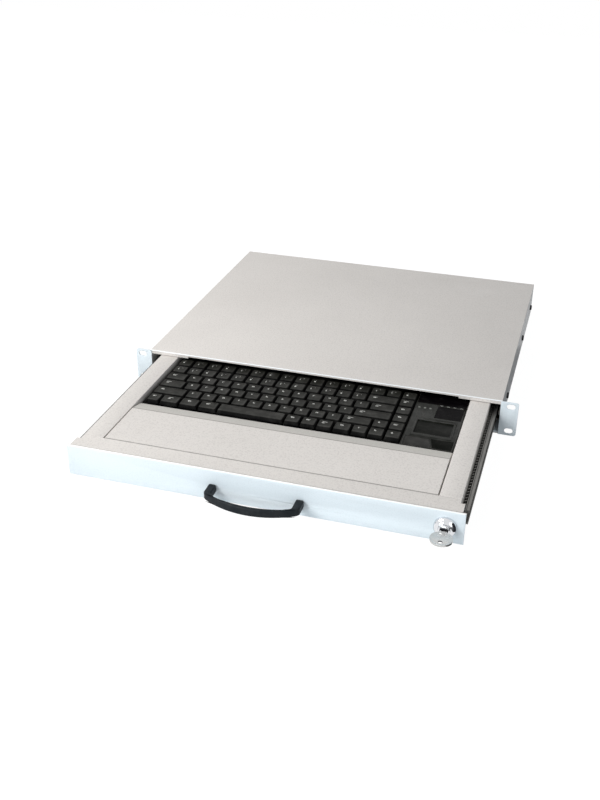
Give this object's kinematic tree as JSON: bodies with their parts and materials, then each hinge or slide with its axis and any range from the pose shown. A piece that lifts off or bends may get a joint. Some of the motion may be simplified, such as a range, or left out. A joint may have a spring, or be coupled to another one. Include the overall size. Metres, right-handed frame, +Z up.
{
  "type": "rack keyboard drawer",
  "caption": "One-unit rack drawer on ball-bearing slides with a compact keyboard, touchpad, bowed pull handle and cam lock, shown pulled out for typing.",
  "frame": {"origin": "middle of the four rack slots, on the rear face of the ears", "axes": "+X across the rack to the right as the user sees it, +Y back into the rack, +Z up"},
  "size_m": [0.4826, 0.6486, 0.0436],
  "materials": {
    "case_paint": "powder coat, light warm grey, finely speckled",
    "front_paint": "powder coat, cool light grey",
    "slide_steel": "blackened zinc",
    "ball_steel": "bright",
    "dark_screws": "black zinc",
    "grommet_rubber": "matt",
    "handle_plastic": "satin, charcoal",
    "lock_chrome": "polished",
    "keyboard_case": "satin black",
    "touch_gloss": "glossy dark olive grey",
    "touch_skin": "satin",
    "dome_rubber": "translucent white",
    "board_green": "solder mask",
    "led_lens": "clear lens",
    "left_button_plastic": "satin dark grey",
    "right_button_plastic": "satin black",
    "key_plastic": "satin, fine texture"
  },
  "bodies": {
    "case": {"base_pan": "case_paint", "left_side_plate": "front_paint", "right_side_plate": "front_paint", "top_cover": "case_paint", "rear_panel": "case_paint", "cable_grommet": "grommet_rubber", "left_outer_rail": "slide_steel", "right_outer_rail": "slide_steel", "side_screws": "dark_screws", "cover_screws": "dark_screws", "lock_strike": "ball_steel", "strike_rivets": "dark_screws"},
    "drawer": {"drawer_floor": "case_paint", "left_channel": "case_paint", "right_channel": "case_paint", "front_panel": "front_paint", "drawer_back": "case_paint", "palm_rest": "case_paint", "rear_deck": "case_paint", "left_inner_rail": "slide_steel", "right_inner_rail": "slide_steel", "rail_screws": "dark_screws", "handle": "handle_plastic", "handle_screws": "dark_screws", "lock_body": "lock_chrome", "lock_nut": "ball_steel", "keyboard_base": "keyboard_case", "keyboard_frame": "keyboard_case", "dome_sheet": "dome_rubber", "circuit_board": "board_green", "keyboard_screws": "dark_screws", "touchpad_panel": "touch_gloss", "touchpad_surface": "touch_skin", "touchpad_board": "board_green", "status_leds": "led_lens"},
    "left_cage": {"left_ball_cage": "slide_steel", "left_slide_balls": "ball_steel"},
    "right_cage": {"right_ball_cage": "slide_steel", "right_slide_balls": "ball_steel"},
    "lock_core": {"lock_plug": "lock_chrome", "lock_cam": "ball_steel", "cam_screw": "dark_screws"},
    "lock_key": {"key": "lock_chrome"},
    "function_keys": {"function_keys": "key_plastic"},
    "number_keys": {"number_keys": "key_plastic"},
    "tab_row_keys": {"tab_row_keys": "key_plastic"},
    "home_row_keys": {"home_row_keys": "key_plastic"},
    "lower_row_keys": {"lower_row_keys": "key_plastic"},
    "modifier_keys": {"modifier_keys": "key_plastic"},
    "nav_keys": {"nav_keys": "key_plastic"},
    "arrow_keys": {"arrow_keys": "key_plastic"},
    "tab_key": {"tab_key": "key_plastic"},
    "caps_lock_key": {"caps_lock_key": "key_plastic"},
    "left_shift_key": {"left_shift_key": "key_plastic"},
    "right_shift_key": {"right_shift_key": "key_plastic"},
    "enter_key": {"enter_key": "key_plastic"},
    "backspace_key": {"backspace_key": "key_plastic"},
    "space_bar": {"space_bar": "key_plastic"},
    "touch_left_button": {"touch_left_button": "left_button_plastic"},
    "touch_right_button": {"touch_right_button": "right_button_plastic"}
  },
  "joints": [
    {"name": "drawer_slide", "type": "slide", "parent": "case", "child": "drawer", "axis": [0, -1, 0], "range_m": [-0.231, 0.028]},
    {"name": "left_cage_roll", "type": "slide", "parent": "case", "child": "left_cage", "axis": [0, -1, 0], "range_m": [-0.1155, 0.014]},
    {"name": "right_cage_roll", "type": "slide", "parent": "case", "child": "right_cage", "axis": [0, -1, 0], "range_m": [-0.1155, 0.014]},
    {"name": "lock_turn", "type": "hinge", "parent": "drawer", "child": "lock_core", "pos_m": [0.1965, -0.234, -0.003], "axis": [0, -1, 0], "range_deg": [0, 90]},
    {"name": "key_pull", "type": "slide", "parent": "lock_core", "child": "lock_key", "axis": [0, -1, 0], "range_m": [0, 0.03]},
    {"name": "function_keys_press", "type": "slide", "parent": "drawer", "child": "function_keys", "axis": [0, 0, -1], "range_m": [0, 0.003], "stiffness_N_per_m": 3200, "springref_m": -0.0015},
    {"name": "number_keys_press", "type": "slide", "parent": "drawer", "child": "number_keys", "axis": [0, 0, -1], "range_m": [0, 0.003], "stiffness_N_per_m": 2600, "springref_m": -0.0015},
    {"name": "tab_row_keys_press", "type": "slide", "parent": "drawer", "child": "tab_row_keys", "axis": [0, 0, -1], "range_m": [0, 0.003], "stiffness_N_per_m": 2600, "springref_m": -0.0015},
    {"name": "home_row_keys_press", "type": "slide", "parent": "drawer", "child": "home_row_keys", "axis": [0, 0, -1], "range_m": [0, 0.003], "stiffness_N_per_m": 2200, "springref_m": -0.0015},
    {"name": "lower_row_keys_press", "type": "slide", "parent": "drawer", "child": "lower_row_keys", "axis": [0, 0, -1], "range_m": [0, 0.003], "stiffness_N_per_m": 2000, "springref_m": -0.0015},
    {"name": "modifier_keys_press", "type": "slide", "parent": "drawer", "child": "modifier_keys", "axis": [0, 0, -1], "range_m": [0, 0.003], "stiffness_N_per_m": 1600, "springref_m": -0.0015},
    {"name": "nav_keys_press", "type": "slide", "parent": "drawer", "child": "nav_keys", "axis": [0, 0, -1], "range_m": [0, 0.003], "stiffness_N_per_m": 800, "springref_m": -0.0015},
    {"name": "arrow_keys_press", "type": "slide", "parent": "drawer", "child": "arrow_keys", "axis": [0, 0, -1], "range_m": [0, 0.003], "stiffness_N_per_m": 800, "springref_m": -0.0015},
    {"name": "tab_key_press", "type": "slide", "parent": "drawer", "child": "tab_key", "axis": [0, 0, -1], "range_m": [0, 0.003], "stiffness_N_per_m": 400, "springref_m": -0.0015},
    {"name": "caps_lock_key_press", "type": "slide", "parent": "drawer", "child": "caps_lock_key", "axis": [0, 0, -1], "range_m": [0, 0.003], "stiffness_N_per_m": 400, "springref_m": -0.0015},
    {"name": "left_shift_key_press", "type": "slide", "parent": "drawer", "child": "left_shift_key", "axis": [0, 0, -1], "range_m": [0, 0.003], "stiffness_N_per_m": 400, "springref_m": -0.0015},
    {"name": "right_shift_key_press", "type": "slide", "parent": "drawer", "child": "right_shift_key", "axis": [0, 0, -1], "range_m": [0, 0.003], "stiffness_N_per_m": 400, "springref_m": -0.0015},
    {"name": "enter_key_press", "type": "slide", "parent": "drawer", "child": "enter_key", "axis": [0, 0, -1], "range_m": [0, 0.003], "stiffness_N_per_m": 400, "springref_m": -0.0015},
    {"name": "backspace_key_press", "type": "slide", "parent": "drawer", "child": "backspace_key", "axis": [0, 0, -1], "range_m": [0, 0.003], "stiffness_N_per_m": 400, "springref_m": -0.0015},
    {"name": "space_bar_press", "type": "slide", "parent": "drawer", "child": "space_bar", "axis": [0, 0, -1], "range_m": [0, 0.003], "stiffness_N_per_m": 400, "springref_m": -0.0015},
    {"name": "touch_left_button_press", "type": "slide", "parent": "drawer", "child": "touch_left_button", "axis": [0, 0, -1], "range_m": [0, 0.0006], "stiffness_N_per_m": 400, "springref_m": -0.0015},
    {"name": "touch_right_button_press", "type": "slide", "parent": "drawer", "child": "touch_right_button", "axis": [0, 0, -1], "range_m": [0, 0.0006], "stiffness_N_per_m": 400, "springref_m": -0.0015}
  ],
  "couplings": [
    {"joint": "left_cage_roll", "follows": "drawer_slide", "ratio": 0.5},
    {"joint": "right_cage_roll", "follows": "drawer_slide", "ratio": 0.5}
  ]
}
